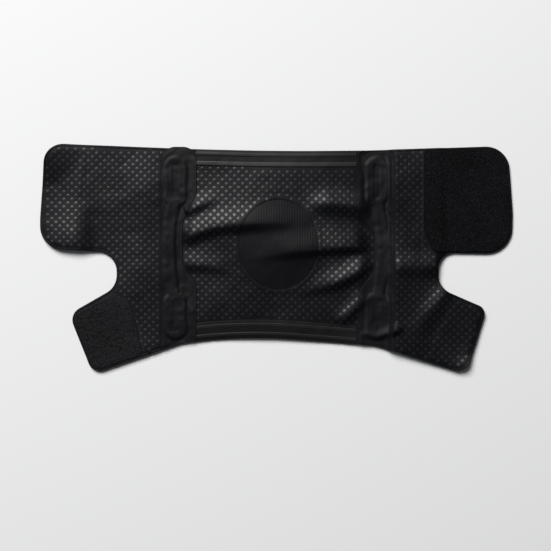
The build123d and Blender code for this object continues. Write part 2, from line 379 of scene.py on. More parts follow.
def hook_lift(points):
    """How far the hook patches under two straps lift the cloth."""
    lift = np.zeros(len(points))
    for loop in hook_edges.values():
        distance, _, _ = from_line(points, loop, closed=True)
        deep = np.where(inside(points, loop), distance, -distance)
        lift = np.maximum(lift, hook_show * smooth((deep + hook_show_out) / hook_show_ramp))
    return lift


def ripple(points, cell, seed):
    """Smooth random bumps of about one cell across, from about -1 to 1."""
    cells = 200
    values = np.random.default_rng(seed).uniform(-1, 1, (cells, cells))
    place = points / cell + cells / 2
    whole = np.clip(np.floor(place).astype(int), 0, cells - 2)
    share = smooth(place - whole)
    x, y = whole[:, 0], whole[:, 1]
    near = values[x, y] * (1 - share[:, 0]) + values[x + 1, y] * share[:, 0]
    far = values[x, y + 1] * (1 - share[:, 0]) + values[x + 1, y + 1] * share[:, 0]
    return near * (1 - share[:, 1]) + far * share[:, 1]


def crown(points):
    """The front bulges up between the stays, and the right wing falls away outwards."""
    x, y = points[:, 0], points[:, 1]
    across = np.clip(1 - (x / (stay_x - crown_stop)) ** 2, 0, 1)
    along = np.clip(np.cos(math.pi * (y - crown_y) / crown_length), 0, 1)
    height = front_crown * across * along
    bulge = 1 - ((x - window_x) / bulge_a) ** 2 - ((y - window_y) / bulge_b) ** 2
    height += window_bulge * np.clip(bulge, 0, 1)
    out = (x - stay_x - fall_start) / fall_length
    return height + right_fall * smooth(out / fall_ramp) * np.clip(1 - out, 0, 1)


def lie(points):
    """How high the cloth lies above the table."""
    height = crumple * (1 + ripple(points, crumple_cell, crumple_seed)) + crown(points)
    for angle, length, size, start in WAVES:
        turn = math.radians(angle)
        along = points[:, 0] * math.sin(turn) + points[:, 1] * math.cos(turn)
        height += size * (1 + np.sin(along * 2 * math.pi / length + start))
    for fold in FOLDS:
        height += fold_height(points, *fold)
    off_stay = smooth((np.abs(np.abs(points[:, 0]) - stay_x) - stay_half_calm) / calm_ramp)
    height *= stay_keep + (1 - stay_keep) * off_stay
    on_pad = smooth((points[:, 0] - notch_right) / pad_ramp) * (points[:, 1] > notch_y)
    height *= 1 - pad_calm * on_pad
    for lift in CORNER_LIFTS:
        height += corner_lift(points, *lift)
    return height


def roll(depth, reach):
    """How an edge rounds off, from 0 at the edge to 1 inside."""
    t = 1 - np.clip(depth / reach, 0, 1)
    return np.sqrt(1 - t * t)


def cloth_top(points):
    """The skin side of the liner."""
    depth, _, _ = from_line(points, outline, closed=True)
    to_window, _, _ = from_line(points, window_edge, closed=True)
    rise = liner_high - liner_low
    top = liner_low + rise * (rim_share + (1 - rim_share) * roll(depth, edge_roll))
    top -= hem_drop * (1 - smooth((depth - pressed_line) / hem_ramp))
    top -= pressed_depth * ridge(depth, pressed_line, pressed_width)
    top -= window_drop * (1 - smooth(to_window / window_ramp))
    return top + lie(points) + hook_lift(points)


# --- Meshes ---
row_share = 0.87                    # a staggered grid's rows lie this share of a step apart
edge_clear, cut_clear = 0.55, 0.45  # in steps, from the grid to the rings and to the cuts
ring_clear = 0.97                   # a ring's point nearer to an edge than this is left out


def inside_all(points, loops):
    """Which points lie inside the first loop and outside the others."""
    result = inside(points, loops[0])
    for hole in loops[1:]:
        result &= ~inside(points, hole)
    return result


def triangulate(loops, cuts, fill):
    """Cover what is inside the first loop and outside the others with triangles."""
    points, edges = [], []
    for path, closed in [(loop, True) for loop in loops] + [(cut, False) for cut in cuts]:
        first = len(points)
        points.extend(path)
        edges += [(first + i, first + i + 1) for i in range(len(path) - 1)]
        if closed:
            edges.append((len(points) - 1, first))
    points.extend(fill)
    made = delaunay_2d_cdt([Vector(p) for p in points], edges, [], 0, 1e-4)
    flat = np.array([tuple(p) for p in made[0]])
    triangles = np.array([face for face in made[2] if len(face) == 3])
    triangles = triangles[inside_all(flat[triangles].mean(axis=1), loops)]
    a, b, c = (flat[triangles[:, k]] for k in range(3))
    area = (b[:, 0] - a[:, 0]) * (c[:, 1] - a[:, 1]) - (b[:, 1] - a[:, 1]) * (c[:, 0] - a[:, 0])
    triangles[area < 0] = triangles[area < 0][:, ::-1]
    return flat, triangles[np.abs(area) > 1e-9]


def to_edges(points, loops):
    """Each point's distance to the nearest of the loops."""
    return np.min([from_line(points, loop, closed=True)[0] for loop in loops], axis=0)


def filling(loops, cuts, step, rings):
    """Points to fill a shape with: rings along its edges, and a staggered grid inside."""
    points = []
    for loop in loops:
        ahead = np.roll(loop, -1, 0) - np.roll(loop, 1, 0)
        normal = np.stack([ahead[:, 1], -ahead[:, 0]], 1)
        normal /= np.hypot(ahead[:, 0], ahead[:, 1])[:, None]
        for deep in rings:
            for side in (-1, 1):
                ring = loop + side * normal * deep
                points.append(ring[(to_edges(ring, loops) > deep * ring_clear) & inside_all(ring, loops)])
    low, high = loops[0].min(axis=0), loops[0].max(axis=0)
    grid = []
    for k, y in enumerate(np.arange(low[1], high[1], step * row_share)):
        across = np.arange(low[0] + (k % 2) * step / 2, high[0], step)
        grid.append(np.column_stack([across, np.full(len(across), y)]))
    grid = np.concatenate(grid)
    grid = grid[inside_all(grid, loops)]
    grid = grid[to_edges(grid, loops) > max(rings) + step * edge_clear]
    points = np.concatenate(points + [grid])
    for cut in cuts:
        points = points[from_line(points, cut)[0] > step * cut_clear]
    return points


def point_normals(points, triangles):
    """Smooth normals of a surface, weighted by the triangles' area."""
    a, b, c = (points[triangles[:, k]] for k in range(3))
    face = np.cross(b - a, c - a)
    normals = np.zeros_like(points)
    for k in range(3):
        np.add.at(normals, triangles[:, k], face)
    return normals / np.maximum(np.linalg.norm(normals, axis=1), 1e-12)[:, None]


def make_object(name, points, faces, material, normals=None):
    """A mesh object from points in millimetres; normals are given for each corner of each face."""
    mesh = bpy.data.meshes.new(name)
    mesh.from_pydata((np.asarray(points) * MM).tolist(), [], [tuple(map(int, face)) for face in faces])
    mesh.update()
    mesh.polygons.foreach_set("use_smooth", [True] * len(mesh.polygons))
    if normals is not None:
        mesh.normals_split_custom_set([tuple(normal) for normal in normals])
    mesh.materials.append(material)
    thing = bpy.data.objects.new(name, mesh)
    bpy.context.collection.objects.link(thing)
    return thing


def shell(name, flat, triangles, top, bottom, material, top_normals, bottom_normals):
    """A closed shell between a top and a bottom surface over the same triangles."""
    used = np.unique(triangles)
    place = np.full(len(flat), -1)
    place[used] = np.arange(len(used))
    faces = place[triangles]
    count = len(used)
    upper = np.column_stack([flat[used], top[used]])
    lower = np.column_stack([flat[used], bottom[used]])
    edges = np.concatenate([faces[:, [0, 1]], faces[:, [1, 2]], faces[:, [2, 0]]])
    codes = edges[:, 0] * count + edges[:, 1]
    rim = edges[~np.isin(codes, edges[:, 1] * count + edges[:, 0])]
    walls = np.column_stack([rim[:, 1], rim[:, 0], rim[:, 0] + count, rim[:, 1] + count])
    points = np.concatenate([upper, lower])
    run = points[walls[:, 1]] - points[walls[:, 0]]
    out = np.cross(run, (0, 0, -1.0))
    out /= np.maximum(np.linalg.norm(out, axis=1), 1e-12)[:, None]
    normals = np.concatenate([
        top_normals[used][faces].reshape(-1, 3),
        bottom_normals[used][faces[:, ::-1]].reshape(-1, 3),
        np.repeat(out, 4, axis=0),
    ])
    all_faces = [*faces, *(faces[:, ::-1] + count), *walls]
    return make_object(name, points, all_faces, material, normals)


def smooth_shell(name, flat, triangles, top, bottom, material):
    """A closed shell with smooth normals on both of its faces."""
    up = point_normals(np.column_stack([flat, top]), triangles)
    down = -point_normals(np.column_stack([flat, bottom]), triangles)
    return shell(name, flat, triangles, top, bottom, material, up, down)


def plate(name, loop, step, rings, top, bottom, material):
    """A closed shell over a loop; top and bottom are functions of the points."""
    flat, triangles = triangulate([loop], [], filling([loop], [], step, rings))
    return smooth_shell(name, flat, triangles, top(flat), bottom(flat), material)


def grid_triangles(rows, wide):
    """Two triangles for each cell of a grid of points, row after row."""
    corner = (np.arange(rows - 1)[:, None] * wide + np.arange(wide - 1)).ravel()
    return np.concatenate([
        np.column_stack([corner, corner + 1, corner + wide + 1]),
        np.column_stack([corner, corner + wide + 1, corner + wide]),
    ])


# --- Pieces of the cloth's segments ---
def bend_with(thing):
    """Bake a piece's placing into its mesh."""
    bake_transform(thing)


def in_segment(points, kind, sign):
    """Which points belong to a segment."""
    start, end = SEGMENTS[kind][:2]
    reach = points[:, 0] * sign
    result = (reach >= start) & (reach < end)
    if kind == "upper":
        result &= points[:, 1] >= notch_y
    if kind == "lower":
        result &= points[:, 1] < notch_y
    return result


# --- Node wiring ---
class Wiring:
    """Adds nodes to a tree, each with its inputs given as values or as other nodes' outputs."""

    def __init__(self, tree):
        self.tree = tree

    def add(self, kind, inputs=None, **settings):
        node = self.tree.nodes.new(kind)
        for name, value in settings.items():
            setattr(node, name, value)
        for key, value in (inputs or {}).items():
            socket = node.inputs[key]
            if isinstance(value, bpy.types.NodeSocket):
                self.tree.links.new(value, socket)
            else:
                socket.default_value = value
        return node

    def math(self, operation, a, b=0.0):
        return self.add("ShaderNodeMath", {0: a, 1: b}, operation=operation).outputs[0]

    def noise(self, vector, scale, detail=2.0, roughness=0.5):
        inputs = {"Vector": vector, "Scale": scale, "Detail": detail, "Roughness": roughness}
        return self.add("ShaderNodeTexNoise", inputs).outputs["Fac"]

    def remap(self, value, low, high, to_low=0.0, to_high=1.0):
        inputs = {"Value": value, 1: low, 2: high, 3: to_low, 4: to_high}
        return self.add("ShaderNodeMapRange", inputs).outputs[0]

    def mix(self, share, a, b):
        node = self.add("ShaderNodeMix", {0: share, 6: a, 7: b}, data_type="RGBA")
        return node.outputs[2]


def group_tree(name, inputs, outputs):
    """An empty node group with named sockets."""
    tree = bpy.data.node_groups.new(name, "ShaderNodeTree")
    for label, kind, value in inputs:
        socket = tree.interface.new_socket(label, in_out="INPUT", socket_type=kind)
        socket.default_value = value
    for label, kind in outputs:
        tree.interface.new_socket(label, in_out="OUTPUT", socket_type=kind)
    wiring = Wiring(tree)
    return wiring, tree.nodes.new("NodeGroupInput"), tree.nodes.new("NodeGroupOutput")


def knit_group():
    """Tiny stitches of a knitted face: rows of loops that lean left and right, with painted shade in their
    hollows.
    """
    lean_of_stitch = 1.1
    wiring, given, made = group_tree(
        "knit_face",
        [("Stitches per Metre", "NodeSocketFloat", 1500.0), ("Rib", "NodeSocketFloat", 0.3)],
        [("Height", "NodeSocketFloat"), ("Shade", "NodeSocketFloat")],
    )
    place = wiring.add("ShaderNodeTexCoord").outputs["Object"]
    axes = wiring.add("ShaderNodeSeparateXYZ", {0: place})
    waver = wiring.noise(place, scale=260.0, detail=1.0)
    turn = wiring.math("MULTIPLY", given.outputs[0], 2 * math.pi)
    across = wiring.math("MULTIPLY", axes.outputs[0], turn)
    along = wiring.math("MULTIPLY", axes.outputs[1], turn)
    swing = wiring.math("SINE", wiring.math("MULTIPLY", across, 0.5))
    lean = wiring.math("MULTIPLY", swing, lean_of_stitch)
    loops = wiring.math("SINE", wiring.math("ADD", along, wiring.math("ADD", lean, waver)))
    columns = wiring.math("ABSOLUTE", swing)
    body = wiring.math("MULTIPLY", wiring.remap(loops, -1.0, 1.0), columns)
    height = wiring.math("ADD", body, wiring.math("MULTIPLY", columns, given.outputs[1]))
    # painted shade: the stitches' colour is darker in their hollows and lighter on their tops
    shade = wiring.remap(height, low=0.0, high=1.3, to_low=0.78, to_high=1.12)
    wiring.tree.links.new(height, made.inputs[0])
    wiring.tree.links.new(shade, made.inputs[1])
    return wiring.tree


def wear_group():
    """Cloth colour that drifts a little and takes the painted shade of the stitches, with pale lint and a
    few scuffed places.
    """
    fibre_stretch, roughness_drift = 0.22, 0.06
    lint_colour = (0.16, 0.165, 0.175, 1)
    wiring, given, made = group_tree(
        "lint_and_wear",
        [
            ("Colour", "NodeSocketColor", (0.01, 0.01, 0.011, 1)),
            ("Shade", "NodeSocketFloat", 1.0),
            ("Drift", "NodeSocketFloat", 0.25),
            ("Lint", "NodeSocketFloat", 0.2),
            ("Roughness", "NodeSocketFloat", 0.7),
        ],
        [("Colour", "NodeSocketColor"), ("Roughness", "NodeSocketFloat")],
    )
    place = wiring.add("ShaderNodeTexCoord").outputs["Object"]
    clouds = wiring.noise(place, scale=14.0, detail=3.0, roughness=0.6)
    broad = wiring.remap(clouds, low=0.3, high=0.7, to_low=-1.0, to_high=1.0)
    drift = wiring.math("ADD", wiring.math("MULTIPLY", broad, given.outputs["Drift"]), 1.0)
    # the painted shade of the stitches darkens the colour here
    shade = wiring.math("MULTIPLY", drift, given.outputs["Shade"])
    shaded = wiring.add("ShaderNodeVectorMath", {0: given.outputs["Colour"]}, operation="SCALE")
    wiring.tree.links.new(shade, shaded.inputs["Scale"])
    stretched = wiring.add("ShaderNodeMapping", {"Vector": place, "Scale": (1.0, fibre_stretch, 1.0)})
    specks = wiring.noise(stretched.outputs[0], scale=1900.0, detail=1.0)
    lint = wiring.math("MULTIPLY", wiring.remap(specks, low=0.74, high=0.8), given.outputs["Lint"])
    colour = wiring.mix(lint, shaded.outputs[0], lint_colour)
    uneven = wiring.math("MULTIPLY", broad, roughness_drift)
    rough = wiring.math("ADD", given.outputs["Roughness"], uneven)
    wiring.tree.links.new(colour, made.inputs[0])
    wiring.tree.links.new(rough, made.inputs[1])
    return wiring.tree


def grain_group():
    """Fine even grain, for films, tapes and moulded faces."""
    wiring, given, made = group_tree(
        "fine_grain",
        [("Grains per Metre", "NodeSocketFloat", 2500.0), ("Streak", "NodeSocketFloat", 1.0)],
        [("Height", "NodeSocketFloat")],
    )
    place = wiring.add("ShaderNodeTexCoord").outputs["Object"]
    axes = wiring.add("ShaderNodeSeparateXYZ", {0: place})
    drawn = wiring.math("DIVIDE", axes.outputs[0], given.outputs["Streak"])
    vector = wiring.add("ShaderNodeCombineXYZ", {0: drawn, 1: axes.outputs[1], 2: axes.outputs[2]})
    wiring.tree.links.new(wiring.noise(vector.outputs[0], scale=given.outputs[0]), made.inputs[0])
    return wiring.tree


knit_face, lint_and_wear, fine_grain = knit_group(), wear_group(), grain_group()


def finish(name, colour, roughness, specular, relief, depth, lint, drift=0.25):
    """A material: relief is a group with its two values, and depth is its bump in mm."""
    material = bpy.data.materials.new(name)
    material.use_nodes = True
    wiring = Wiring(material.node_tree)
    shader = material.node_tree.nodes["Principled BSDF"]
    surface = wiring.add("ShaderNodeGroup", node_tree=relief[0])
    for socket, value in zip(surface.inputs, relief[1:]):
        socket.default_value = value
    worn = wiring.add("ShaderNodeGroup", node_tree=lint_and_wear)
    worn.inputs["Colour"].default_value = (*colour, 1)
    worn.inputs["Drift"].default_value = drift
    worn.inputs["Lint"].default_value = lint
    worn.inputs["Roughness"].default_value = roughness
    if "Shade" in surface.outputs:
        wiring.tree.links.new(surface.outputs["Shade"], worn.inputs["Shade"])
    bump = wiring.add("ShaderNodeBump", {"Height": surface.outputs["Height"]})
    bump.inputs["Distance"].default_value = depth * MM
    bump.inputs["Strength"].default_value = 1.0
    wiring.tree.links.new(bump.outputs[0], shader.inputs["Normal"])
    wiring.tree.links.new(worn.outputs["Colour"], shader.inputs["Base Color"])
    wiring.tree.links.new(worn.outputs["Roughness"], shader.inputs["Roughness"])
    shader.inputs["Specular IOR Level"].default_value = specular
    return material


# Each finish: colour, roughness, specular level, (group, its two values), bump depth, lint, drift
pile_grain, line_grain = (fine_grain, 900, 1.0), (fine_grain, 1400, 30.0)
liner_knit = finish("liner_knit", (0.0022, 0.0024, 0.0038), 0.445, 0.158, (knit_face, 1500, 0.3), 0.04, 0.1)
outer_knit = finish("outer_knit", (0.011, 0.011, 0.0125), 0.75, 0.25, (knit_face, 1100, 0.5), 0.08, 0.2)
window_rib = finish("window_rib", (0.0026, 0.0027, 0.004), 0.48, 0.135, (knit_face, 1900, 0.4), 0.03, 0.08)
dot_grain = (fine_grain, 3000, 1.0)
printed_dots = finish("printed_dots", (0.0043, 0.0046, 0.0068), 0.375, 0.42, dot_grain, 0.008, 0.0)
grip_film = finish("grip_film", (0.0045, 0.0045, 0.005), 0.5, 0.17, (fine_grain, 1500, 8.0), 0.015, 0.1)
fine_lines = finish("fine_lines", (0.007, 0.007, 0.0076), 0.5, 0.24, line_grain, 0.02, 0.05)
grip_lines = finish("grip_lines", (0.012, 0.012, 0.0125), 0.46, 0.36, line_grain, 0.02, 0.05)
tape_grain = (fine_grain, 1800, 3.0)
cover_tape = finish("cover_tape", (0.0022, 0.0023, 0.0035), 0.54, 0.162, tape_grain, 0.03, 0.12)
loop_pile = finish("loop_pile", (0.0028, 0.0028, 0.0036), 0.8, 0.07, pile_grain, 0.6, 0.3, 0.5)
pile_thread = finish("pile_thread", (0.021, 0.021, 0.0245), 0.55, 0.4, pile_grain, 0.1, 0.2, 0.5)
# The lower left pad uses the same loop pile with painted light: its colour is lighter because that patch
# faces the light.
lit_loop_pile = finish("lit_loop_pile", (0.0092, 0.0092, 0.0108), 0.7, 0.14, pile_grain, 0.6, 0.3, 0.4)
brushed_thread = finish("brushed_thread", (0.0145, 0.0145, 0.0165), 0.6, 0.2, pile_grain, 0.1, 0.2, 0.4)
hook_tape = finish("hook_tape", (0.012, 0.012, 0.013), 0.45, 0.4, (fine_grain, 1200, 1.0), 0.05, 0.1)
sewing_thread = finish("sewing_thread", (0.05, 0.05, 0.054), 0.6, 0.4, (fine_grain, 3000, 4.0), 0.03, 0.1)
moulded_stay = finish("moulded_stay", (0.01, 0.01, 0.011), 0.4, 0.5, pile_grain, 0.02, 0.0)


# --- Patches and covers as flat shapes ---
def inset_corners(corners, distance):
    """The corners of an outline moved inwards on both sides by a distance."""
    moved = []
    for here, radius, into, out in corner_runs(corners):
        turn = into[0] * out[1] - into[1] * out[0]
        inward_in, inward_out = np.array((into[1], -into[0])), np.array((out[1], -out[0]))
        lean = (inward_in + inward_out) / (1 + inward_in @ inward_out)
        moved.append((*(here + lean * distance), max(1.0, radius + math.copysign(distance, turn))))
    return moved


patch_inset = 2.2                   # from the edge of the strap to a patch
field = inset_corners(OUTLINE, patch_inset)
UPPER_RIGHT, UPPER_LEFT = field[2:5], field[16:18] + field[:1]
LOWER_RIGHT, LOWER_LEFT = field[7:9], field[12:14]
pile_seam_x, hook_seam_x = 155.5, -205.7    # where the patches of the upper straps start
PILE_CORNERS = {
    "upper_right": (
        (pile_seam_x, strap_top - 5.6, 3), *UPPER_RIGHT, (166, 6.7, 5), (pile_seam_x + 0.5, 32, 12),
    ),
    "lower_left": ((-141, -101.6, 3), *LOWER_LEFT, (-170, -36.0, 4), (-153, -48.5, 22)),
}
HOOK_CORNERS = {
    "upper_left": (
        (hook_seam_x - 4, 12.5, 8), *UPPER_LEFT,
        (hook_seam_x + 7, strap_top - 2.2, 8), (hook_seam_x - 1, 62, 200),
    ),
    "lower_right": ((190, -43.5, 3), *LOWER_RIGHT, (159, -107.5, 3), (173, -72, 60)),
}
COVERS = {
    "left": (
        (-121.8, 118.4, 15), (-83.6, 118.4, 15), (-83.6, 70, 22), (-98.6, 38, 26), (-98.6, -4, 20),
        (-84.0, -27, 14), (-84.0, -87.3, 3), (-99.2, -89.3, 60), (-121.8, -97.0, 3),
    ),
    "right": (
        (85.8, 114.2, 4), (125.0, 115.3, 4), (125.0, -98.6, 3), (105.4, -92.1, 60), (86.2, -90.4, 3),
        (86.2, -36, 18), (103.8, -12, 30), (103.8, 26, 18), (85.8, 48, 18),
    ),
}
patch_step, cover_edge_step = 2.0, 1.0
pile_edges = {name: rounded_path(corners, patch_step) for name, corners in PILE_CORNERS.items()}
hook_edges = {name: rounded_path(corners, patch_step) for name, corners in HOOK_CORNERS.items()}
cover_edges = {side: rounded_path(corners, cover_edge_step) for side, corners in COVERS.items()}


# --- Stage: camera, table and light ---
def make_stage():
    """A camera straight above, a pale table and one large soft light from the upper left."""
    view_width, lens, sensor = 583.7, 85.0, 36.0
    view_middle = (-0.7, -17.6)
    camera_data = bpy.data.cameras.new("camera")
    camera_data.lens = lens
    camera_data.sensor_width = sensor
    camera_data.clip_end = 50.0
    camera = bpy.data.objects.new("camera", camera_data)
    camera.location = Vector((*view_middle, view_width * lens / sensor)) * MM
    bpy.context.collection.objects.link(camera)
    bpy.context.scene.camera = camera

    table_half = 6000
    table_paint = bpy.data.materials.new("table_paint")
    table_paint.use_nodes = True
    shader = table_paint.node_tree.nodes["Principled BSDF"]
    shader.inputs["Base Color"].default_value = (0.83, 0.83, 0.835, 1)
    shader.inputs["Roughness"].default_value = 0.85
    shader.inputs["Specular IOR Level"].default_value = 0.2
    corners = [(x * table_half, y * table_half, 0) for x, y in ((-1, -1), (1, -1), (1, 1), (-1, 1))]
    table = make_object("table_top", corners, [(0, 1, 2, 3)], table_paint)

    light_place, light_size, light_watts = Vector((-1330, 2410, 3115)), 2300, 232.0
    light_data = bpy.data.lights.new("window_light", "AREA")
    light_data.size = light_size * MM
    light_data.energy = light_watts
    light = bpy.data.objects.new("window_light", light_data)
    light.location = light_place * MM
    light.rotation_euler = (-light_place).to_track_quat("-Z", "Y").to_euler()
    bpy.context.collection.objects.link(light)

    world = bpy.data.worlds.new("room")
    world.use_nodes = True
    room = world.node_tree.nodes["Background"]
    room.inputs["Color"].default_value = (0.94, 0.97, 1.0, 1)
    room.inputs["Strength"].default_value = 0.07
    bpy.context.scene.world = world
    bpy.context.scene.view_settings.view_transform = "Standard"
    return table


# --- Cloth ---
def make_cloth(table):
    """The liner and the outer cloth, in segments that meet in the parts that don't bend."""
    loops = [outline, window_edge]
    cuts = []
    past_edge, past_notch = 5.0, 4.0    # the seams run on this far outside the cloth
    foot, head = strap_foot - past_edge, strap_top + past_edge
    for x in (0, seam_side, -seam_side, seam_stay, -seam_stay, seam_wing, -seam_wing):
        cuts.append(fill_gaps(np.array([(x, foot), (x, head)]), cloth_step))
    for start, end in ((-seam_wing, notch_left - past_notch), (seam_wing, notch_right + past_notch)):
        cuts.append(fill_gaps(np.array([(start, notch_y), (end, notch_y)]), cloth_step))
    fill = filling(loops, cuts, cloth_step, cloth_rings)
    flat, triangles = triangulate(loops, cuts, fill)
    depth, _, _ = from_line(flat, outline, closed=True)
    lying = lie(flat) + hook_lift(flat)
    skin = cloth_top(flat)
    between = liner_low + lying
    under = lying + liner_low * under_roll * (1 - roll(depth, edge_roll))
    normals = {
        "skin": point_normals(np.column_stack([flat, skin]), triangles),
        "between": point_normals(np.column_stack([flat, between]), triangles),
        "under": -point_normals(np.column_stack([flat, under]), triangles),
    }
    middle = flat[triangles].mean(axis=1)
    for side, sign in SIDES:
        for kind in SEGMENTS:
            mine = triangles[in_segment(middle, kind, sign)]
            outer = shell(
                f"{side}_{kind}_outer_cloth", flat, mine, between - cloth_lap, under,
                outer_knit, normals["between"], normals["under"],
            )
            liner = shell(
                f"{side}_{kind}_liner", flat, mine, skin, between,
                liner_knit, normals["skin"], -normals["between"],
            )
            for piece, part, lies_on in ((outer, "outer_cloth", table), (liner, "liner", outer)):
                bend_with(piece)
                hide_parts(*[node.format(side=side, part=part) for node in CLOTH_NODES[kind]])


def make_window():
    """The ribbed knit behind the kneecap window."""
    a, b = window_a + knit_lap, window_b + knit_lap
    across = np.arange(-a + tip_left_off, a - tip_right_off, rib_pitch / points_per_rib)
    x, v = np.meshgrid(across, np.linspace(-1, 1, knit_rows))
    y = v * b * np.sqrt(1 - (x / a) ** 2)
    flat = np.column_stack([(window_x + x).ravel(), (window_y + y).ravel()])
    base = window_high[2] + lie(flat)
    ribs = np.abs(np.cos(math.pi * flat[:, 0] / rib_pitch)) ** rib_power
    to_edge, _, _ = from_line(flat, window_edge, closed=True)
    top = base + rib_height * ribs * smooth(to_edge / rib_fade)
    triangles = grid_triangles(knit_rows, len(across))
    knit = smooth_shell("kneecap_window_knit", flat, triangles, top, base - knit_thick, window_rib)
    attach(knit, "front_centre")
    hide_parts("patella_window_knit")


# --- Grip bands ---
def grip_line(name, kind, side, edge, depths, height, rows, material, crowned):
    """A strip along the top (+1) or bottom (-1) edge, within one segment."""
    sign = dict(SIDES)[side]
    start, end = SEGMENTS[kind][:2]
    end = min(end, band_end_right if sign > 0 else -band_end_left)
    across = np.linspace(start, end, max(3, round((end - start) / band_step))) * sign
    across.sort()
    share = np.linspace(0, 1, rows)
    run = top_run if edge > 0 else foot_run
    edge_y = np.interp(across, run[:, 0], run[:, 1])
    deep = depths[1] + (depths[0] - depths[1]) * share
    x, d = np.meshgrid(across, deep)
    y = edge_y[None, :] - edge * d
    if edge < 0:
        x, y = x[::-1], y[::-1]
    flat = np.column_stack([x.ravel(), y.ravel()])
    if crowned:
        profile = (1 - np.abs(2 * share - 1) ** strip_power) ** 0.5
    else:
        profile = roll(np.minimum(share, 1 - share), film_edge)
    bed = cloth_top(flat)
    top = bed + height * np.repeat(profile, len(across))
    return smooth_shell(name, flat, grid_triangles(rows, len(across)), top, bed - band_sink, material)


def make_grip_bands():
    """A film along each edge of the front, with raised grip lines on it."""
    for edge_name, edge, depth, strips, rise, finishes in (
        ("upper", 1, upper_band_depth, upper_strips, strip_height, (fine_lines, grip_lines)),
        ("lower", -1, lower_band_depth, lower_strips, strip_height / 2, (fine_lines, fine_lines)),
    ):
        for side, _ in SIDES:
            for kind, thirds in (("front", ("centre", side)), ("stay", (side,))):
                place = f"{edge_name}_{side}_{kind}"
                film = grip_line(
                    f"{place}_grip_film", kind, side, edge, (film_edge_inset, depth),
                    film_height, film_rows, grip_film, crowned=False,
                )
                bend_with(film)
                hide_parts(*[f"{edge_name}_grip_band_{third}" for third in thirds])
                for number, depths in enumerate(strips, 1):
                    line = grip_line(
                        f"{place}_grip_line_{number}", kind, side, edge, depths,
                        film_height + rise, strip_rows, finishes[number - 1], crowned=True,
                    )
                    bend_with(line)
                    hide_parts(*[f"{edge_name}_grip_strips_{third}" for third in thirds])


# --- Stay covers ---
tape_height, tape_sink, tape_edge = 0.8, 0.5, 0.6
cover_step, cover_rings = 0.95, (0.3, 0.8, 1.5)
cover_level = 0.15                  # of the tape's underside at its edge, above the liner
upper_loop_length, lower_loop_length = 49.2, 47.3
stay_half_width, slot_half_width, slot_wall = 10.0, 3.8, 6.2
neck_half_width, neck_bow, stay_shoulder = 4.5, 6.0, 22.6
# The tape starts to rise this far outside the stay, over this width, and rises a little less
drape_start, drape_width, drape_loss = 3.9, 4.8, 0.5
slot_start, slot_width, slot_dip = 1.4, 3.2, 0.34
pressed_round, pressed_round_width, pressed_round_depth = 3.2, 1.1, 0.08
edge_line, edge_line_width, edge_line_depth = 2.0, 0.6, 0.12
# Random unevenness: size, cell, seed
WANDERS = ((0.9, 15.0, 12), (0.7, 11.0, 14))    # of the stay's edge, and of its slots' edge
WRINKLES = ((0.2, 5.0, 8), (0.45, 14.0, 9))
wrinkle_fade = 4.0                  # the wrinkles fade out this near the tape's edge


def stay_distance(points, sign):
    """Distances to the stay under a cover and to its slots, negative over them."""
    middle = stay_x * sign
    outside = np.full(len(points), np.inf)
    slots = np.full(len(points), np.inf)
    upper = (stay_high[1] - upper_loop_length, stay_high[1])
    lower = (stay_low[1], stay_low[1] + lower_loop_length)
    for low, high in (upper, lower):
        spine = np.array([(middle, low + stay_half_width), (middle, high - stay_half_width)])
        outside = np.minimum(outside, from_line(points, spine)[0] - stay_half_width)
        ends = slot_wall + slot_half_width
        spine = np.array([(middle, low + ends), (middle, high - ends)])
        slots = np.minimum(slots, from_line(points, spine)[0] - slot_half_width)
    bowed = middle + neck_bow * sign
    neck = np.array([
        (middle, upper[0] + stay_half_width), (bowed, upper[0] - stay_shoulder),
        (bowed, lower[1] + stay_shoulder), (middle, lower[1] - stay_half_width),
    ])
    outside = np.minimum(outside, from_line(points, neck)[0] - neck_half_width)
    return outside, slots


def make_covers():
    """Tape over each stay, pressed down around it so that the stay shows through."""
    for side, sign in SIDES:
        loop = cover_edges[side]

        def bottom(points):
            return liner_high - tape_sink + lie(points)

        def top(points, loop=loop, sign=sign):
            depth, _, _ = from_line(points, loop, closed=True)
            outside, slots = stay_distance(points, sign)
            for distance, (size, cell, seed) in zip((outside, slots), WANDERS):
                distance += size * ripple(points, cell, seed)
            relief = smooth((drape_start - outside) / drape_width)
            relief -= slot_dip * smooth((slot_start - slots) / slot_width)
            rise = (stay_top_z - liner_high - drape_loss) * relief
            rise -= pressed_round_depth * ridge(outside, pressed_round, pressed_round_width)
            rise -= edge_line_depth * ridge(depth, edge_line, edge_line_width)
            wrinkles = sum(size * ripple(points, cell, seed) for size, cell, seed in WRINKLES)
            level = liner_high + cover_level + lie(points) + tape_height * roll(depth, tape_edge)
            return level + rise + wrinkles * smooth(depth / wrinkle_fade)

        cover = plate(f"{side}_cover", loop, cover_step, cover_rings, top, bottom, cover_tape)
        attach(cover, f"{side}_stay_panel")
        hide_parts(f"{side}_stay_cover")


# --- Printed dots ---
def bare_cloth(points):
    """Where the cloth is bare, so that a whole dot fits on it."""
    depth, _, _ = from_line(points, outline, closed=True)
    keep = inside(points, outline) & (depth > dot_edge_margin)
    covered = [(window_edge, window_margin), *[(loop, cover_margin) for loop in cover_edges.values()]]
    covered += [(loop, pile_clearance) for loop in pile_edges.values()]
    for loop, margin in covered:
        near, _, _ = from_line(points, loop, closed=True)
        keep &= ~inside(points, loop) & (near > margin)
    x, y = points[:, 0], points[:, 1]
    in_span = (x > band_end_left - band_end_margin) & (x < band_end_right + band_end_margin)
    for run, band in ((top_run, upper_band_depth), (foot_run, lower_band_depth)):
        gap = np.abs(np.interp(x, run[:, 0], run[:, 1]) - y)
        keep &= ~(in_span & (gap < band + band_margin))
    return keep


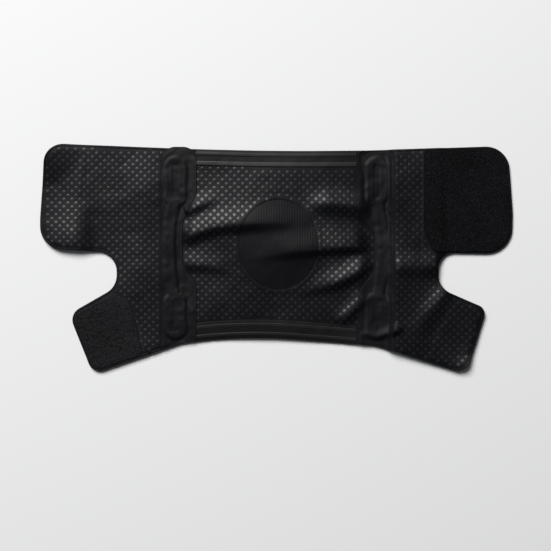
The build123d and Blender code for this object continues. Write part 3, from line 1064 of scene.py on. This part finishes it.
def dot_shape():
    """One dome in plan and in rise, its points' directions and outward leans, and its faces."""
    angles = np.arange(dot_sides) * 2 * math.pi / dot_sides
    circle = np.column_stack([np.cos(angles), np.sin(angles)])
    flat = np.concatenate([circle * dot_radius, circle * dot_radius * shoulder_out, [(0, 0)]])
    each = np.ones(dot_sides)
    rise = np.concatenate([each * -dot_sink, each * dot_height * shoulder_up, [dot_height]])
    lean = np.concatenate([each * foot_lean, each * shoulder_lean, [0.0]])
    directions = np.concatenate([circle, circle, [(0, 0)]])
    after = [(k + 1) % dot_sides for k in range(dot_sides)]
    faces = [(k, after[k], dot_sides + after[k], dot_sides + k) for k in range(dot_sides)]
    faces += [(dot_sides + k, dot_sides + after[k], 2 * dot_sides) for k in range(dot_sides)]
    faces.append(tuple(range(dot_sides))[::-1])
    return flat, rise, directions * lean[:, None], faces


def make_dots():
    """Low grip domes in staggered rows, one piece for each segment of cloth."""
    spare = 4.0                         # the rows start and end this far outside the cloth
    places = []
    for row, y in enumerate(np.arange(strap_foot, strap_top, dot_row)):
        start = box_low[0] - spare + (row % 2) * dot_pitch / 2
        places += [(x, y) for x in np.arange(start, box_high[0] + spare, dot_pitch)]
    places = np.array(places)
    places = places[bare_cloth(places)]
    level = cloth_top(places)
    reach = 0.4                         # the slope is measured this far to both sides
    slopes = [(cloth_top(places + step) - cloth_top(places - step)) / (2 * reach)
              for step in np.eye(2) * reach]
    slopes = np.column_stack(slopes)

    flat, rise, leans, faces = dot_shape()
    corners = np.array([index for face in faces for index in face])
    under = np.array([face is faces[-1] for face in faces for _ in face])
    for side, sign in SIDES:
        for kind in SEGMENTS:
            mine = in_segment(places, kind, sign)
            if not mine.any():
                continue
            centres, slope, z = places[mine], slopes[mine], level[mine]
            heights = z[:, None] + slope[:, :1] * flat[:, 0] + slope[:, 1:] * flat[:, 1] + rise
            spots = centres[:, None, :] + flat[None]
            points = np.concatenate([spots, heights[:, :, None]], axis=2).reshape(-1, 3)
            tilt = leans[None] - slope[:, None, :]
            normal = np.concatenate([tilt, np.ones((*heights.shape, 1))], axis=2)
            normal /= np.linalg.norm(normal, axis=2)[:, :, None]
            normal = normal[:, corners]
            normal[:, under] = (0, 0, -1)
            every = [tuple(i + n * len(flat) for i in face) for n in range(len(centres)) for face in faces]
            dots = make_object(f"{side}_{kind}_dots", points, every, printed_dots, normal.reshape(-1, 3))
            bend_with(dots)


# --- Loop and hook patches ---
pile_height, pile_edge, pile_sink = 1.2, 1.8, 0.1
pile_step, pile_rings = 1.15, (0.5, 1.2)
pile_seam, pile_seam_width, pile_seam_depth = 3.4, 0.7, 0.25    # the sewn line in from the edge
tuft, tuft_cell, tuft_seed = 0.2, 2.1, 21
rough_pile, rough_fade = 0.24, 1.5
thread_radius, thread_sink, thread_margin = 0.2, 0.15, 1.0
thread_span, thread_rise = (0.15, 0.35), (0.35, 0.55)    # the least, and the most more than that
hook_face, hook_back, hook_rise, hook_edge = 0.3, 0.25, 0.7, 0.8
hook_step, hook_rings = 2.6, (0.6,)
hook_pitch, hook_margin, hook_radius = 1.7, 1.6, 0.14
HOOK_DROP, HOOK_DRIFT = np.array((0.0, 0.22, 0.3, 0.2)), np.array((0.0, 0.0, 0.22, 0.42))


def little_tubes(lines, radius):
    """Points and faces of thin three-sided tubes along lines that all have as many points."""
    count, long = lines.shape[:2]
    ahead = np.gradient(lines, axis=1)
    ahead /= np.maximum(np.linalg.norm(ahead, axis=2), 1e-9)[:, :, None]
    side = np.cross(ahead, (0, 0, 1.0))
    side /= np.maximum(np.linalg.norm(side, axis=2), 1e-9)[:, :, None]
    lift = np.cross(side, ahead)
    rings = []
    for angle in (math.pi / 2, math.pi * 7 / 6, math.pi * 11 / 6):
        rings.append(lines + radius * (math.cos(angle) * side + math.sin(angle) * lift))
    points = np.stack(rings, axis=2).reshape(-1, 3)
    one = [(a + j, a + (j + 1) % 3, a + 3 + (j + 1) % 3, a + 3 + j)
           for a in range(0, 3 * (long - 1), 3) for j in range(3)]
    last = 3 * (long - 1)
    one += [(2, 1, 0), (last, last + 1, last + 2)]
    faces = [tuple(i + n * long * 3 for i in face) for n in range(count) for face in one]
    return points, faces


def scattered(loop, count, margin, chance):
    """Random places inside a loop, a margin in from its edge."""
    low, high = loop.min(axis=0), loop.max(axis=0)
    spots = low + chance.random((count * 3, 2)) * (high - low)
    near, _, _ = from_line(spots, loop, closed=True)
    return spots[inside(spots, loop) & (near > margin)][:count]


def make_loop_patches():
    """Looped pile on two straps: a thick rough pad with small loops standing up from it."""
    for name, kind, side, count, pad_finish, thread_finish in (
        ("upper_right", "upper", "right", 5000, loop_pile, pile_thread),
        # the lower left pad's pile carries painted light, lighter than the upper right's
        ("lower_left", "lower", "left", 3000, lit_loop_pile, brushed_thread),
    ):
        loop = pile_edges[name]
        chance = np.random.default_rng(11 + count)

        def top(points, loop=loop, chance=chance):
            depth, _, _ = from_line(points, loop, closed=True)
            pile = pile_height * roll(depth, pile_edge)
            pile -= pile_seam_depth * ridge(depth, pile_seam, pile_seam_width)
            rough = tuft * ripple(points, tuft_cell, tuft_seed)
            rough += chance.normal(0, rough_pile, len(points))
            return cloth_top(points) + pile + rough * smooth(depth / rough_fade)

        def bottom(points):
            return cloth_top(points) - pile_sink

        pad = plate(f"{name}_loop_pad", loop, pile_step, pile_rings, top, bottom, pad_finish)
        spots = scattered(loop, count, thread_margin, chance)
        turn = chance.random(len(spots)) * math.pi * 2
        span = thread_span[0] + thread_span[1] * chance.random(len(spots))
        tall = thread_rise[0] + thread_rise[1] * chance.random(len(spots))
        share = np.linspace(-1, 1, 4)
        direction = np.column_stack([np.cos(turn), np.sin(turn)])
        plan = spots[:, None] + direction[:, None] * (share[None, :, None] * span[:, None, None])
        base = cloth_top(spots) + pile_height - thread_sink
        height = base[:, None] + tall[:, None] * (1 - share[None] ** 2)
        points, faces = little_tubes(np.concatenate([plan, height[:, :, None]], axis=2), thread_radius)
        threads = make_object(f"{name}_pile_loops", points, faces, thread_finish)
        for piece in (pad, threads):
            bend_with(piece)
        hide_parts(f"{name}_loop_patch", f"{name}_loop_patch_inner")


def make_hook_patches():
    """Hook tape let into the underside of the other two straps."""
    for name, kind, side in (("upper_left", "upper", "left"), ("lower_right", "lower", "right")):
        loop = hook_edges[name]

        def top(points, loop=loop):
            depth, _, _ = from_line(points, loop, closed=True)
            return lie(points) + hook_face + hook_rise * roll(depth, hook_edge)

        def bottom(points):
            return lie(points) + hook_back

        tape = plate(f"{name}_hook_tape", loop, hook_step, hook_rings, top, bottom, hook_tape)
        low, high = loop.min(axis=0), loop.max(axis=0)
        across, along = (np.arange(low[k], high[k], hook_pitch) for k in (0, 1))
        grid = np.array([(x, y) for x in across for y in along])
        near, _, _ = from_line(grid, loop, closed=True)
        grid = grid[inside(grid, loop) & (near > hook_margin)]
        level = lie(grid)[:, None] + hook_face - HOOK_DROP
        plan = np.stack([grid[:, :1] + HOOK_DRIFT, np.repeat(grid[:, 1:], len(HOOK_DRIFT), axis=1)], axis=2)
        points, faces = little_tubes(np.concatenate([plan, level[:, :, None]], axis=2), hook_radius)
        hooks = make_object(f"{name}_hooks", points, faces, hook_tape)
        for piece in (tape, hooks):
            bend_with(piece)
        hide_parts(f"{name}_hook_patch")


# --- Stitching ---
stitch_pitch, stitch_length, stitch_radius = 2.7, 1.7, 0.26
seam_gap, seam_points = 0.9, 12     # outside the pile, and points of the curved seam
STITCH_ALONG, STITCH_RISE = np.array((-0.5, -0.3, 0.3, 0.5)), np.array((-0.12, 0.1, 0.1, -0.12))


def stitches(name, line):
    """Short thread stitches along a line on the liner."""
    path = fill_gaps(np.array(line, float), stitch_pitch)
    middle = (path[1:] + path[:-1]) / 2
    ahead = (path[1:] - path[:-1]) / stitch_pitch
    plan = middle[:, None] + ahead[:, None] * (STITCH_ALONG[None, :, None] * stitch_length)
    height = cloth_top(plan.reshape(-1, 2)).reshape(plan.shape[:2]) + STITCH_RISE
    points, faces = little_tubes(np.concatenate([plan, height[:, :, None]], axis=2), stitch_radius)
    bend_with(make_object(name, points, faces, sewing_thread))


def make_stitching():
    """Seams that hold the loop patches down."""
    straight = [(pile_seam_x - seam_gap, y) for y in (112, 2)]
    stitches("upper_right_seam", straight)
    curve = smooth_line([(-160.5, -41), (-150.5, -58), (-144, -76), (-140, -98)], seam_points)
    stitches("lower_left_seam", curve)


# --- Stays ---
def make_stays():
    """The moulded stays keep their frame shape under the covers."""
    for side, _ in SIDES:
        node = frame["nodes"][f"{side}_stay"]
        node.data.materials.clear()
        node.data.materials.append(moulded_stay)


table_top = make_stage()
make_cloth(table_top)
make_window()
make_grip_bands()
make_covers()
make_dots()
make_loop_patches()
make_hook_patches()
make_stitching()
make_stays()
